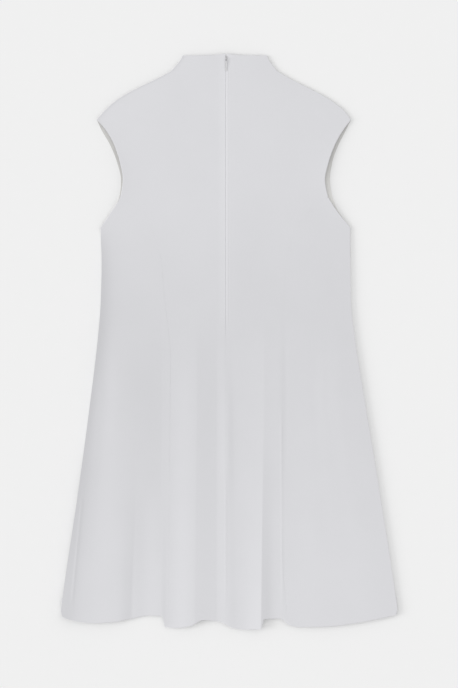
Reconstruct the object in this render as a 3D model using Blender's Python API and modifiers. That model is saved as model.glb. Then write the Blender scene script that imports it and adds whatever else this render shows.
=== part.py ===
"""A sleeveless flared dress, laid flat with its back up, with a grown-on neck and a concealed zip.

Metres, +Z up. The neck points along +Y and the dress lies on z = 0. Places on the garment are told
in two lengths: across, from the centre-back line with the right of the view positive, and down,
from the top edge of the neck. Each panel of the back is a cloth wall through level sections.
"""

import math
from bisect import bisect_right
from functools import lru_cache
from typing import NamedTuple

import bmesh
import bpy
from mathutils import Vector

CLOTH = 0.0015  # thickness of a cloth wall
SEAM_GAP = 0.0003  # clear gap between neighbouring pieces
LAID = CLOTH + SEAM_GAP + CLOTH  # height of the back's outer face where it lies on the front
STEP = 0.0001  # half the stretch over which a section's slope is measured
HEM_SAMPLING = 0.001  # the spacing at which the hem's lowest place is looked for

NECK_TOP = 0.0024  # how far the neck's middle lies below its level
NECK_RISE = 0.0026  # how much lower still the rest of its top edge lies
NECK_BUMP = 0.018  # how far the edge is lifted beside the zip
HEM_DOWN = 0.9705  # where the hem lies flat on the surface
HEM_REACH = 0.16  # the stretch above the hem that follows its wave
FOLD_START = 0.42  # the waist, above which there are no folds
HIPS = 0.60  # where the folds' upper places and heights are told
FOLD_LEAN = 1.0  # how far a steep flank tucks in under its crest, as a share of its height
GAPE = 0.0026  # how far the back stands off the front at the middle of an armhole
GAPE_REACH = 0.030  # how fast that dies away inward
BACK_JOIN = 0.2500  # where the princess seams leave the armholes
SIDE_PANEL_TOP = 0.2524  # where a side panel is first wide enough to be cut
BODICE_ROWS, SKIRT_ROWS, FLAT_ROWS = 0.018, 0.035, 0.050  # the widest spacings of rows
SEAM_BENDS = (0.270, 0.285, 0.330)  # levels that the princess seams' bends need
FOLLOW_FROM, FOLLOW_FULL = 0.50, 0.64  # between these a panel's columns turn to follow the folds

SIDE_WALL = 0.0004  # the least that a side edge is turned down
CORNER = 0.0016  # a side panel's last column before its edge lies this far inside it
EDGE_BAND = 0.030  # the stretch beside the left edge in which its lip dies away

FRONT_TOP = 0.0050  # how much lower the front's neck edge lies
FRONT_HEM = 0.9660  # the front's straight hem, just above the back's
FRONT_INSET = 0.0008  # how far the front's edges lie inside the back's

SLIT_HALF = 0.0008  # half the open slit beside the slider
SLIT_OPEN, SLIT_CLOSED = 0.016, 0.030  # the slit closes between these
ZIP_END = 0.475
TAPE_HALF = 0.0120
TAPE_THICK = 0.0006
TAPE_TOP = 0.0040
TAPE_COLUMNS = 4

SLIDER_DOWN = 0.0098  # the pull's pin, and the middle of the slider
WELD = 1e-6  # how close the arch's caps lie to its tube
CROWN_SIZE = (0.0028, 0.0092, 0.0006)
CROWN_BEVEL = 0.0002
STEM_SIZE = (0.0010, 0.0050)
ARCH_HALF = 0.0023  # half the distance between the arch's legs
ARCH_WIRE = 0.00045
ARCH_BEND = 0.0014  # radius of the arch's two bends
ARCH_RISE = 0.0020  # from the crown's outer face to the arch's middle line
PIN_RISE = 0.0008  # from the crown's outer face to the pull's pin
PULL_LENGTH = 0.0205
PULL_HALF = 0.0018
PULL_THICK = 0.0006
PULL_EYE = (0.0026, 0.0030)  # width and length of the hole at the pin
PULL_TILT = math.radians(2.2)  # how the pull slopes down to rest on the cloth
ROUND_STEPS = 8  # steps in a half circle
SHARP = math.radians(50)  # edges that bend more than this are shaded sharp


class Edge(NamedTuple):
    """Distances from the centre-back line to the two sides, at one level."""

    down: float
    left: float
    right: float


class Level(NamedTuple):
    """How far the back stands off the front at one level, and how it ends at its side edges.

    It rounds down over a width, but keeps a share of its height right to the edge. The left edge
    also stands up in a lip, which dies away inward.
    """

    down: float
    loft: float
    rounding: float
    stand_left: float
    stand_right: float
    lip: float
    lip_reach: float


class Line(NamedTuple):
    """A crest or a foot of the skirt's folds, which runs down the skirt.

    Its place across and its height over the loft are told at the hem and at the hips.
    """

    at_hem: float
    at_hips: float
    rise_hem: float
    rise_hips: float
    late: float = 1.0  # above 1 the line goes over from its one height to the other late
    bent_before: bool = False  # whether the cloth comes to the line on a slope, or levels out
    bent_after: bool = False  # whether it leaves on a slope


class Hang(NamedTuple):
    """How far the hem hangs below its level at one place across."""

    across: float
    dip: float


NECK_SIDE = (
    Edge(0.0000, 0.0743, 0.0703),
    Edge(0.0140, 0.0820, 0.0765),
    Edge(0.0325, 0.0952, 0.0890),
)
SHOULDER = (
    Edge(0.0325, 0.0952, 0.0890),
    Edge(0.0490, 0.1268, 0.1182),
    Edge(0.0655, 0.1612, 0.1510),
    Edge(0.0826, 0.1895, 0.1812),
    Edge(0.0998, 0.2093, 0.2034),
    Edge(0.1161, 0.2236, 0.2156),
)
BACK_ARMHOLE = (
    Edge(0.1161, 0.2236, 0.2156),
    Edge(0.1342, 0.2077, 0.2022),
    Edge(0.1600, 0.1933, 0.1877),
    Edge(0.1900, 0.1835, 0.1769),
    Edge(0.2200, 0.1784, 0.1707),
    Edge(0.2460, 0.1820, 0.1752),
    Edge(0.2700, 0.1947, 0.1889),
    Edge(0.3027, 0.2171, 0.2147),
)
FRONT_ARMHOLE = (
    Edge(0.1161, 0.2236, 0.2156),
    Edge(0.1342, 0.2151, 0.2069),
    Edge(0.1600, 0.2003, 0.1938),
    Edge(0.1900, 0.1885, 0.1833),
    Edge(0.2200, 0.1820, 0.1792),
    Edge(0.2460, 0.1844, 0.1830),
    Edge(0.2700, 0.1947, 0.1918),
    Edge(0.3027, 0.2171, 0.2147),
)
SIDE = (
    Edge(0.3027, 0.2171, 0.2147),
    Edge(0.3663, 0.2148, 0.2146),
    Edge(0.4300, 0.2162, 0.2157),
    Edge(0.4954, 0.2213, 0.2226),
    Edge(0.5642, 0.2294, 0.2334),
    Edge(0.7706, 0.2568, 0.2669),
    Edge(0.9426, 0.2823, 0.2932),
    Edge(0.9620, 0.2842, 0.2954),
    Edge(0.9705, 0.2818, 0.2940),
)
PRINCESS = (
    Edge(0.2500, 0.1838, 0.1758),
    Edge(0.2700, 0.1530, 0.1490),
    Edge(0.3000, 0.1300, 0.1235),
    Edge(0.3300, 0.1195, 0.1115),
    Edge(0.3600, 0.1120, 0.1052),
    Edge(0.4200, 0.1065, 0.1000),
    Edge(0.5300, 0.0960, 0.0985),
    Edge(0.7400, 0.0982, 0.0968),
    Edge(0.8600, 0.0988, 0.0975),
    Edge(0.9705, 0.0992, 0.1060),
)
BODY = (
    Level(0.000, 0.0013, 0.060, 0.0, 0.0, 0.0010, 0.002),
    Level(0.035, 0.0018, 0.080, 0.0, 0.0, 0.0012, 0.003),
    Level(0.110, 0.0027, 0.110, 0.0, 0.0, 0.0012, 0.003),
    Level(0.130, 0.0028, 0.110, 0.0, 0.0, 0.0002, 0.003),
    Level(0.280, 0.0036, 0.150, 0.0, 0.0, 0.0002, 0.014),
    Level(0.345, 0.0035, 0.130, 0.6, 0.3, 0.0044, 0.011),
    Level(0.470, 0.0032, 0.070, 1.0, 0.6, 0.0060, 0.009),
    Level(0.660, 0.0030, 0.060, 1.0, 0.6, 0.0062, 0.009),
    Level(0.760, 0.0030, 0.060, 1.0, 0.6, 0.0058, 0.010),
    Level(0.971, 0.0030, 0.060, 1.0, 0.6, 0.0056, 0.018),
)
LEFT_SIDE_HOLLOW = Line(-0.1640, -0.1500, -0.0024, 0.0010, 2.0, True, True)
LEFT_STEP_OUTER = Line(-0.1075, -0.1000, -0.0014, -0.0026)
LEFT_STEP_INNER = Line(-0.1045, -0.0965, -0.0014, -0.0024)
LEFT_FLUTE_CREST = Line(-0.0540, -0.0500, 0.0020, -0.0004, 1.0, False, True)
LEFT_FLUTE_FOOT = Line(-0.0165, -0.0165, -0.0013, -0.0026, 1.0, True)
RIGHT_FLUTE_START = Line(0.0200, 0.0130, -0.0010, -0.0026)
RIGHT_FLUTE_CREST = Line(0.0600, 0.0655, 0.0044, -0.0008, 1.3, True, True)
RIGHT_FLUTE_FOOT = Line(0.0870, 0.0880, -0.0013, -0.0014)
RIGHT_STEP_OUTER = Line(0.1160, 0.1110, -0.0010, -0.0011)
RIGHT_GORE_CREST = Line(0.1700, 0.1500, 0.0001, -0.0007)
LINES = (
    Line(-0.2900, -0.2350, 0.0000, 0.0000),
    Line(-0.2400, -0.2150, 0.0002, 0.0012),
    Line(-0.1900, -0.1850, 0.0010, 0.0030),
    LEFT_SIDE_HOLLOW,
    Line(-0.1150, -0.1060, -0.0010, -0.0026, 2.0, True),
    LEFT_STEP_OUTER,
    LEFT_STEP_INNER,
    LEFT_FLUTE_CREST,
    LEFT_FLUTE_FOOT,
    Line(0.0045, -0.0020, -0.0004, -0.0021),
    RIGHT_FLUTE_START,
    RIGHT_FLUTE_CREST,
    RIGHT_FLUTE_FOOT,
    RIGHT_STEP_OUTER,
    RIGHT_GORE_CREST,
    Line(0.2100, 0.1700, 0.0002, -0.0003),
    Line(0.2600, 0.2000, 0.0002, 0.0000),
    Line(0.3000, 0.2400, 0.0000, 0.0000),
)
HANG = (
    Hang(-0.2900, 0.0000),
    Hang(-0.2816, 0.0037),
    Hang(-0.2644, 0.0103),
    Hang(-0.2334, 0.0149),
    Hang(-0.1990, 0.0135),
    Hang(-0.1646, 0.0078),
    Hang(-0.1302, 0.0023),
    Hang(-0.1095, 0.0032),
    Hang(-0.1061, 0.0212),
    Hang(-0.0889, 0.0236),
    Hang(-0.0614, 0.0202),
    Hang(-0.0408, 0.0097),
    Hang(-0.0132, 0.0121),
    Hang(0.0143, 0.0240),
    Hang(0.0315, 0.0262),
    Hang(0.0600, 0.0252),
    Hang(0.0650, 0.0080),
    Hang(0.0930, 0.0075),
    Hang(0.1106, 0.0189),
    Hang(0.1278, 0.0218),
    Hang(0.1691, 0.0211),
    Hang(0.2138, 0.0164),
    Hang(0.2620, 0.0080),
    Hang(0.3000, 0.0000),
)


FINISHES = (  # name, colour, roughness, metallic
    ("white_crepe", (0.70, 0.70, 0.72), 0.85, 0.0),
    ("white_tape", (0.62, 0.62, 0.63), 0.80, 0.0),
    ("satin_metal", (0.62, 0.62, 0.63), 0.35, 1.0),
)


def ease(share):
    """Go from 0 to 1 with a level start and end."""
    share = min(1.0, max(0.0, share))
    return share * share * (3 - 2 * share)


@lru_cache(maxsize=None)
def curve_of(rows, column):
    """Places, values and slopes of a smooth curve through one column, with no overshoot."""
    levels = [row[0] for row in rows]
    values = [getattr(row, column) for row in rows]
    chords = [
        (values[i + 1] - values[i]) / (levels[i + 1] - levels[i]) for i in range(len(rows) - 1)
    ]
    slopes = [chords[0]]
    for before, after in zip(chords, chords[1:]):
        slopes.append(2 * before * after / (before + after) if before * after > 0 else 0.0)
    return levels, values, [*slopes, chords[-1]]


def read(rows, column, down):
    """The value of a table's column at a place between its rows, told in its first column."""
    levels, values, slopes = curve_of(rows, column)
    down = min(levels[-1], max(levels[0], down))
    i = min(len(rows) - 2, max(0, bisect_right(levels, down) - 1))
    span = levels[i + 1] - levels[i]
    t = (down - levels[i]) / span
    start = values[i] * (1 + 2 * t) + span * slopes[i] * t
    end = values[i + 1] * (3 - 2 * t) + span * slopes[i + 1] * (t - 1)
    return start * (1 - t) ** 2 + end * t**2


def back_edge(side, down):
    """Distance from the centre-back line to the back's outer edge."""
    for rows in (NECK_SIDE, SHOULDER, BACK_ARMHOLE):
        if down <= rows[-1].down:
            return read(rows, side, down)
    return read(SIDE, side, down)


def front_edge(side, down):
    """Distance from the centre-back line to the front's outer edge."""
    armhole = FRONT_ARMHOLE[0].down < down < FRONT_ARMHOLE[-1].down
    if not armhole:
        return back_edge(side, down) - FRONT_INSET
    reach = read(FRONT_ARMHOLE, side, down)
    share = (down - FRONT_ARMHOLE[0].down) / (FRONT_ARMHOLE[-1].down - FRONT_ARMHOLE[0].down)
    return reach - FRONT_INSET * (1 - math.sin(math.pi * share) ** 0.5)


def slit(down):
    """Half the gap between the two centre backs: the zip's slit, and a seam further down."""
    seam = SEAM_GAP / 2
    closing = (down - SLIT_OPEN) / (SLIT_CLOSED - SLIT_OPEN)
    return seam + (SLIT_HALF - seam) * (1 - ease(closing))


def princess(side, down, towards):
    """The princess seam's distance from the centre back, less or more half its gap."""
    slope = (read(PRINCESS, side, down + STEP) - read(PRINCESS, side, down - STEP)) / (2 * STEP)
    return read(PRINCESS, side, down) + towards * SEAM_GAP / 2 * math.hypot(1, slope)


def line_at(line, down):
    """Where one of the folds' lines lies: its place across and its height over the loft."""
    share = max(0.0, (down - HIPS) / (HEM_DOWN - HIPS))
    place = line.at_hips + (line.at_hem - line.at_hips) * share
    rise = line.rise_hips + (line.rise_hem - line.rise_hips) * share**line.late
    return place, rise * ease((down - FOLD_START) / (HIPS - FOLD_START))


@lru_cache(maxsize=None)
def lines_at(down):
    """The places and the heights of all the folds' lines in one section."""
    return [line_at(line, down) for line in LINES]


def bend(share, sharp_start, sharp_end):
    """Go from one line's height to the next one's, levelling out at the ends that aren't sharp."""
    if sharp_start and sharp_end:
        return share
    if sharp_start:
        return 1 - (1 - share) ** 2
    return share**2 if sharp_end else ease(share)


def relief(across, down):
    """How far the folds raise a place of the skirt, and push it sideways."""
    found = lines_at(down)
    rise, push = found[0][1], 0.0
    for i in range(1, len(LINES)):
        place, height = found[i - 1]
        next_place, next_height = found[i]
        share = min(1.0, max(0.0, (across - place) / (next_place - place)))
        step = next_height - height
        rise += step * bend(share, LINES[i - 1].bent_after, LINES[i].bent_before)
        push += FOLD_LEAN * abs(step) * math.sin(2 * math.pi * share) / (2 * math.pi)
    return rise, push


def section(across, down):
    """The back's outer face in the level section at down: its place across and its height."""
    rise, push = relief(across, down)
    height = read(BODY, "loft", down) + rise
    armhole = (down - BACK_ARMHOLE[0].down) / (BACK_ARMHOLE[-1].down - BACK_ARMHOLE[0].down)
    gape = GAPE * math.sin(math.pi * min(1.0, max(0.0, armhole)))
    lift = 0.0
    for side, sign in (("left", -1), ("right", 1)):
        inward = max(0.0, back_edge(side, down) - sign * across)
        share = min(1.0, inward / read(BODY, "rounding", down))
        stand = read(BODY, "stand_" + side, down)
        height *= stand + (1 - stand) * math.sin(math.pi / 2 * share)
        lift += gape * math.exp(-inward / GAPE_REACH)
        if side == "left":
            lift += read(BODY, "lip", down) * math.exp(-inward / read(BODY, "lip_reach", down))
    return across + push, LAID + height + lift


def standing(side, down):
    """How high a side edge stands over the flat garment."""
    height = read(BODY, "loft", down) * read(BODY, "stand_" + side, down)
    return height + (read(BODY, "lip", down) if side == "left" else 0.0)


@lru_cache(maxsize=None)
def origin():
    """The across and down of the middle of the laid dress."""
    left, right = (max(getattr(row, side) for row in SIDE) for side in ("left", "right"))
    count = round((left + right) / HEM_SAMPLING)
    samples = [(left + right) * i / count - left for i in range(count + 1)]
    lowest = max(hem_level(across, HEM_DOWN) for across in samples)
    return (right - left) / 2, (lowest + NECK_TOP) / 2


def neck_level(across, down):
    """How far down a place ends up once the line of the neck's top edge is in."""
    bump = math.exp(-((across / NECK_BUMP) ** 2))
    lower = NECK_TOP + NECK_RISE * (1 - bump)
    return down + lower * (1 - ease(down / NECK_SIDE[-1].down))


def hem_level(across, down):
    """How far down a place of the back ends up once the hem's wave is in too."""
    wave = max(0.0, (down - HEM_DOWN + HEM_REACH) / HEM_REACH) ** 2
    return neck_level(across, down) + wave * read(HANG, "dip", across)


def cloth_point(across, down, depth):
    """The point of the back that lies depth under its outer face."""
    place, height = section(across, down)
    before, after = section(across - STEP, down), section(across + STEP, down)
    slope = Vector((after[0] - before[0], after[1] - before[1])).normalized()
    middle_across, middle_down = origin()
    return Vector(
        (
            place + slope.y * depth - middle_across,
            middle_down - hem_level(across, down),
            height - slope.x * depth,
        )
    )


def flat_point(across, down):
    """A point of the front's plan in the dress's own frame."""
    middle_across, middle_down = origin()
    return Vector((across - middle_across, middle_down - neck_level(across, down), 0.0))


def edge_point(side, down, depth, wall):
    """The point depth under a panel's side edge: its upper corner, or the end of its turned wall."""
    edge = (-1 if side == "left" else 1) * back_edge(side, down)
    place, height = section(edge, down)
    inward = -math.copysign(depth, edge)
    low = height - depth
    if wall:
        low = height - max(SIDE_WALL, standing(side, down)) - CLOTH
    middle_across, middle_down = origin()
    return Vector(
        (place + inward - middle_across, middle_down - hem_level(edge, down), low)
    )


def levels(start, end, kinks, spacing):
    """Levels from start to end at the kinks between them and no further apart than spacing."""
    stops = [start, *(k for k in kinks if start < k < end), end]
    found = []
    for low, high in zip(stops, stops[1:]):
        count = max(1, math.ceil((high - low) / spacing))
        found += [low + (high - low) * i / count for i in range(count)]
    return [*found, end]


def seam_levels():
    """The levels along the princess seams, the same on both of a seam's panels."""
    kinks = sorted((*SEAM_BENDS, BACK_ARMHOLE[-1].down, SIDE[-2].down))
    return levels(SIDE_PANEL_TOP, HEM_DOWN, kinks, SKIRT_ROWS)


def columns_between(inner, outer, guides, counts, down):
    """Places from inner to outer: evenly spread above, and gathered at the guides lower down."""
    total = sum(counts)
    even = [inner + (outer - inner) * i / total for i in range(total + 1)]
    stops = [inner, *guides, outer]
    led = [inner]
    for low, high, count in zip(stops, stops[1:], counts):
        led += [low + (high - low) * (i + 1) / count for i in range(count)]
    turn = ease((down - FOLLOW_FROM) / (FOLLOW_FULL - FOLLOW_FROM))
    return [a + (b - a) * turn for a, b in zip(even, led)]


def cloth_wall(name, material, faces, collection):
    """Make a closed cloth wall between two sheets of points, each in rows down and columns across."""
    mesh, bm = bpy.data.meshes.new(name), bmesh.new()
    faces_up, faces_down = ([[bm.verts.new(point) for point in row] for row in rows] for rows in faces)
    last_row, last_column = len(faces_up) - 1, len(faces_up[0]) - 1
    for i in range(last_row):
        for j in range(last_column):
            for sheet, turn in ((faces_up, 1), (faces_down, -1)):
                corners = (sheet[i][j], sheet[i + 1][j], sheet[i + 1][j + 1], sheet[i][j + 1])
                bm.faces.new(corners[::turn])
    rim = [(0, j) for j in range(last_column)] + [(i, last_column) for i in range(last_row)]
    rim += [(last_row, j) for j in range(last_column, 0, -1)] + [(i, 0) for i in range(last_row, 0, -1)]
    for (i, j), (k, m) in zip(rim, rim[1:] + rim[:1]):
        bm.faces.new((faces_up[i][j], faces_up[k][m], faces_down[k][m], faces_down[i][j]))
    bm.normal_update()
    bm.to_mesh(mesh)
    bm.free()
    return place_object(name, mesh, material, collection)


def sheet_points(rows, depth):
    """The points that lie depth under the back's outer face, from rows of (down, places across)."""
    return [[cloth_point(across, down, depth) for across in places] for down, places in rows]


def place_object(name, data, material, collection):
    """Put a mesh or a curve in the collection as a named object with its material."""
    thing = bpy.data.objects.new(name, data)
    thing.data.materials.append(material)
    collection.objects.link(thing)
    if thing.type == "MESH":
        thing.data.shade_smooth()
        thing.data.set_sharp_from_angle(angle=SHARP)
    return thing


def finish(name, colour, roughness, metallic):
    """A plain finish with the part's own colour."""
    material = bpy.data.materials.new(name)
    material.use_nodes = True
    shader = material.node_tree.nodes["Principled BSDF"]
    shader.inputs["Base Color"].default_value = (*colour, 1.0)
    shader.inputs["Roughness"].default_value = roughness
    shader.inputs["Metallic"].default_value = metallic
    return material


def centre_back(side, material, collection):
    """One centre back, from the neck's top to the hem, with half of the neck grown on."""
    kinks = [row.down for row in (*NECK_SIDE[1:], *SHOULDER[1:], *BACK_ARMHOLE[1:-2])]
    downs = levels(0.0, BACK_JOIN, kinks, BODICE_ROWS) + seam_levels()
    if side == "left":
        sign, lines, counts = -1, (LEFT_FLUTE_FOOT, LEFT_FLUTE_CREST), (4, 4, 4)
    else:
        sign, lines, counts = 1, (RIGHT_FLUTE_START, RIGHT_FLUTE_CREST, RIGHT_FLUTE_FOOT), (2, 5, 5, 3)
    rows = []
    for down in downs:
        outer = back_edge(side, down) if down < BACK_JOIN else princess(side, down, -1)
        guides = [abs(line_at(line, down)[0]) for line in lines]
        places = columns_between(slit(down), outer, guides, counts, down)
        rows.append((down, [sign * place for place in places][::sign]))
    faces = [sheet_points(rows, depth) for depth in (0.0, CLOTH)]
    return cloth_wall("centre_back_" + side, material, faces, collection)


def side_back(side, material, collection):
    """One side back, from its point on the armhole to the hem, with its side edge turned down."""
    if side == "left":
        sign, lines = -1, (LEFT_STEP_INNER, LEFT_STEP_OUTER, LEFT_SIDE_HOLLOW)
        counts, band = (2, 2, 4, 4, 3), [EDGE_BAND]
    else:
        sign, lines, counts, band = 1, (RIGHT_STEP_OUTER, RIGHT_GORE_CREST), (4, 3, 5), []
    rows = []
    for down in seam_levels():
        outer = back_edge(side, down) - CORNER
        guides = [abs(line_at(line, down)[0]) for line in lines] + [outer - width for width in band]
        places = columns_between(princess(side, down, 1), outer, guides, counts, down)
        rows.append((down, [sign * place for place in places]))
    faces = [sheet_points(rows, depth) for depth in (0.0, CLOTH)]
    for sheet, depth in zip(faces, (0.0, CLOTH)):
        for row, (down, _) in zip(sheet, rows):
            row += [edge_point(side, down, depth, wall) for wall in (False, True)]
    faces = [[row[::sign] for row in sheet] for sheet in faces]
    return cloth_wall("side_back_" + side, material, faces, collection)


def flat_outline(name, outlines, thickness, material, collection):
    """A flat piece of one thickness inside closed outlines, centred on its own plane."""
    curve = bpy.data.curves.new(name, "CURVE")
    curve.dimensions = "2D"
    curve.fill_mode = "BOTH"
    curve.extrude = thickness / 2
    for points in outlines:
        spline = curve.splines.new("POLY")
        spline.points.add(len(points) - 1)
        for point, (x, y) in zip(spline.points, points):
            point.co = (x, y, 0.0, 1.0)
        spline.use_cyclic_u = True
    return place_object(name, curve, material, collection)


def front_panel(material, collection):
    """The front, flat under the back, with its armhole edges outside the back's."""
    kinks = [row.down for row in (*NECK_SIDE[1:], *SHOULDER[1:], *FRONT_ARMHOLE[1:], *SIDE[1:-2])]
    downs = levels(FRONT_TOP, FRONT_HEM, kinks, FLAT_ROWS)
    right = [flat_point(front_edge("right", down), down) for down in downs]
    left = [flat_point(-front_edge("left", down), down) for down in reversed(downs)]
    panel = flat_outline("front", [[(p.x, p.y) for p in right + left]], CLOTH, material, collection)
    panel.location.z = CLOTH / 2
    return panel


def zip_tape(material, collection):
    """The zip's tape, sewn flat against the inside of the two centre backs."""
    outer = CLOTH + SEAM_GAP
    places = [TAPE_HALF * (2 * i / TAPE_COLUMNS - 1) for i in range(TAPE_COLUMNS + 1)]
    kinks = [row.down for row in BODY]
    rows = [(down, places) for down in levels(TAPE_TOP, ZIP_END, kinks, FLAT_ROWS)]
    faces = [sheet_points(rows, depth) for depth in (outer, outer + TAPE_THICK)]
    return cloth_wall("zip_tape", material, faces, collection)


def welded_copy(curve_object, collection):
    """A mesh of a curve's tube with its caps joined on, in place of the curve."""
    bpy.context.view_layer.update()
    depsgraph = bpy.context.evaluated_depsgraph_get()
    mesh = bpy.data.meshes.new_from_object(curve_object.evaluated_get(depsgraph))
    bm = bmesh.new()
    bm.from_mesh(mesh)
    bmesh.ops.remove_doubles(bm, verts=bm.verts, dist=WELD)
    bm.to_mesh(mesh)
    bm.free()
    solid = bpy.data.objects.new(curve_object.name + "_solid", mesh)
    solid.matrix_world = curve_object.matrix_world
    collection.objects.link(solid)
    bpy.data.objects.remove(curve_object)
    return solid


def box(name, size, centre, collection):
    """A box of the given size with its scale applied."""
    bpy.ops.mesh.primitive_cube_add(size=1.0, location=centre)
    thing = bpy.context.object
    thing.name = name
    thing.data.transform(
        ((size[0], 0, 0, 0), (0, size[1], 0, 0), (0, 0, size[2], 0), (0, 0, 0, 1))
    )
    for owner in thing.users_collection:
        owner.objects.unlink(thing)
    collection.objects.link(thing)
    return thing


def zip_slider(material, collection, cutters):
    """The slider's crown over the slit, its stem down to the tape and the arch for the pull."""
    pin = cloth_point(0.0, SLIDER_DOWN, 0.0)
    crown_low = pin.z + SEAM_GAP
    crown_top = crown_low + CROWN_SIZE[2]
    crown = box("zip_slider", CROWN_SIZE, (pin.x, pin.y, (crown_low + crown_top) / 2), collection)
    crown.data.materials.append(material)
    edge = crown.modifiers.new("rounded_edges", "BEVEL")
    edge.width = CROWN_BEVEL
    edge.segments = 2

    stem_low = pin.z - CLOTH
    stem_top = (crown_low + crown_top) / 2
    stem = box(
        "slider_stem",
        (*STEM_SIZE, stem_top - stem_low),
        (pin.x, pin.y, (stem_low + stem_top) / 2),
        cutters,
    )

    wire = bpy.data.curves.new("slider_arch", "CURVE")
    wire.dimensions = "3D"
    wire.bevel_depth = ARCH_WIRE
    wire.bevel_resolution = 2
    wire.use_fill_caps = True
    spline = wire.splines.new("POLY")
    foot, straight = -CROWN_SIZE[2] / 2, ARCH_HALF - ARCH_BEND
    bend_steps = ROUND_STEPS // 2
    path = [(-ARCH_HALF, foot)]
    for start, centre in ((math.pi, -straight), (math.pi / 2, straight)):
        for i in range(bend_steps + 1):
            angle = start - math.pi / 2 * i / bend_steps
            along = centre + ARCH_BEND * math.cos(angle)
            path.append((along, ARCH_RISE - ARCH_BEND + ARCH_BEND * math.sin(angle)))
    path.append((ARCH_HALF, foot))
    spline.points.add(len(path) - 1)
    for point, (along, rise) in zip(spline.points, path):
        point.co = (0.0, along, rise, 1.0)
    arch_curve = bpy.data.objects.new("slider_arch", wire)
    arch_curve.location = (pin.x, pin.y, crown_top)
    cutters.objects.link(arch_curve)
    arch = welded_copy(arch_curve, cutters)

    for joined in (stem, arch):
        joined.hide_render = True
        joined.display_type = "WIRE"
        union = crown.modifiers.new("with_" + joined.name, "BOOLEAN")
        union.operation = "UNION"
        union.solver = "EXACT"
        union.object = joined
    return crown


def zip_pull(material, collection):
    """The pull tab, a slim plate with an eye round the arch, turned about its pin."""
    top = PULL_THICK / 2
    eye_half = PULL_EYE[0] / 2
    tip = PULL_LENGTH - PULL_HALF
    outline = [(-PULL_HALF, 0.0), (-PULL_HALF + top, top), (PULL_HALF - top, top), (PULL_HALF, 0.0)]
    for i in range(ROUND_STEPS + 1):
        angle = -math.pi * i / ROUND_STEPS
        outline.append((PULL_HALF * math.cos(angle), -tip + PULL_HALF * math.sin(angle)))
    eye = [(-eye_half, -top), (eye_half, -top), (eye_half, -PULL_EYE[1]), (-eye_half, -PULL_EYE[1])]
    pull = flat_outline("zip_pull", [outline, eye], PULL_THICK, material, collection)
    pin = cloth_point(0.0, SLIDER_DOWN, 0.0)
    pull.location = (pin.x, pin.y, pin.z + SEAM_GAP + CROWN_SIZE[2] + PIN_RISE)
    pull.rotation_euler.x = PULL_TILT
    return pull


def main():
    """Build the dress in its collection."""
    for thing in list(bpy.data.objects):
        bpy.data.objects.remove(thing)
    dress = bpy.data.collections.new("skater_dress")
    cutters = bpy.data.collections.new("cutters")
    for collection in (dress, cutters):
        bpy.context.scene.collection.children.link(collection)
    crepe, tape, metal = (finish(*values) for values in FINISHES)
    front_panel(crepe, dress)
    for side in ("left", "right"):
        centre_back(side, crepe, dress)
        side_back(side, crepe, dress)
    zip_tape(tape, dress)
    zip_slider(metal, dress, cutters)
    zip_pull(metal, dress)


main()
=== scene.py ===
"""The looks of a sleeveless flared dress, laid flat with its back up, with a concealed zip.

Metres, +Z up, the neck along +Y. Places on the garment are told in two lengths: across, from the
centre-back line with the right of the view positive, and down, from the top edge of the neck. Each
panel is a thin sheet with rolled edges and a turned-up hem, on the form of its solid in the frame.
"""

import logging
import math
from collections.abc import Callable
from dataclasses import dataclass
from enum import Enum
from functools import cached_property, lru_cache, partial
from typing import NamedTuple

import bmesh
import bpy
import numpy as np
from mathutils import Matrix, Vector


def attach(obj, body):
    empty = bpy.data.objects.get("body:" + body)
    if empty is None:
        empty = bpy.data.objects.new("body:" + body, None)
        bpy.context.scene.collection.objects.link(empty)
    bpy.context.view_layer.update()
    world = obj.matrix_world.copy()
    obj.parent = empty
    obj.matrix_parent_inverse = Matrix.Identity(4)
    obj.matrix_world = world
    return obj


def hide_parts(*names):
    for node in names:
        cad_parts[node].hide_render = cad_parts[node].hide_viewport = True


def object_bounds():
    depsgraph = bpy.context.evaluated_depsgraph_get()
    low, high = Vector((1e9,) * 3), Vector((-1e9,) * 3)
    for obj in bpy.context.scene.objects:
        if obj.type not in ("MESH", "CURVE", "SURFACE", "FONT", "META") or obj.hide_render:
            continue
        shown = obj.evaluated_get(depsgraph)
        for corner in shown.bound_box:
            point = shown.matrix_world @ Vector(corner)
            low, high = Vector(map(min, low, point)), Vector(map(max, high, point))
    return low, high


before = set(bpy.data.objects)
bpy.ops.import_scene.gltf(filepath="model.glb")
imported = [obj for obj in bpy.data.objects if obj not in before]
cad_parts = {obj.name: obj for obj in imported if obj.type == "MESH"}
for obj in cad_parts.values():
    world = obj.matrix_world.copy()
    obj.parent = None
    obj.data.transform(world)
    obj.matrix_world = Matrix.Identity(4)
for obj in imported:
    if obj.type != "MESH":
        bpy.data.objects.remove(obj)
CAD_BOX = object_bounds()

log = logging.getLogger("dress")

Array = np.ndarray
Point = tuple[float, float, float]
Profile = Callable[[Array], Array]  # a place or a size, as a function of the levels
Socket = bpy.types.NodeSocket

WALL = 0.0015  # thickness of the solids' cloth walls, and of a turned edge here
SEAM_GAP = 0.0003  # clear gap between neighbouring solids
LAID = WALL + SEAM_GAP + WALL  # height of the back's outer face where it lies on the front
ROLL = WALL / 2  # radius of a turned edge
STEP = 0.0001  # half the stretch over which a slope is measured
HEM_DOWN = 0.9705  # where the hem lies flat on the floor
NECK_DEEP = 0.0325  # how far the grown-on neck reaches down
HEM_TURN = 0.030  # how much cloth is turned under at the hem
NECK_TURN = 0.012  # and at the neck
EDGE_STEPS = 4  # turns in each quarter of a rolled edge, and rows on what is turned under
SMOOTH_CLOTH = math.radians(60)  # the angle from which an edge shows as sharp
SMOOTH_METAL = math.radians(40)
FACING = 0.9  # a normal's least share along an axis, of a face that looks that way


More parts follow.
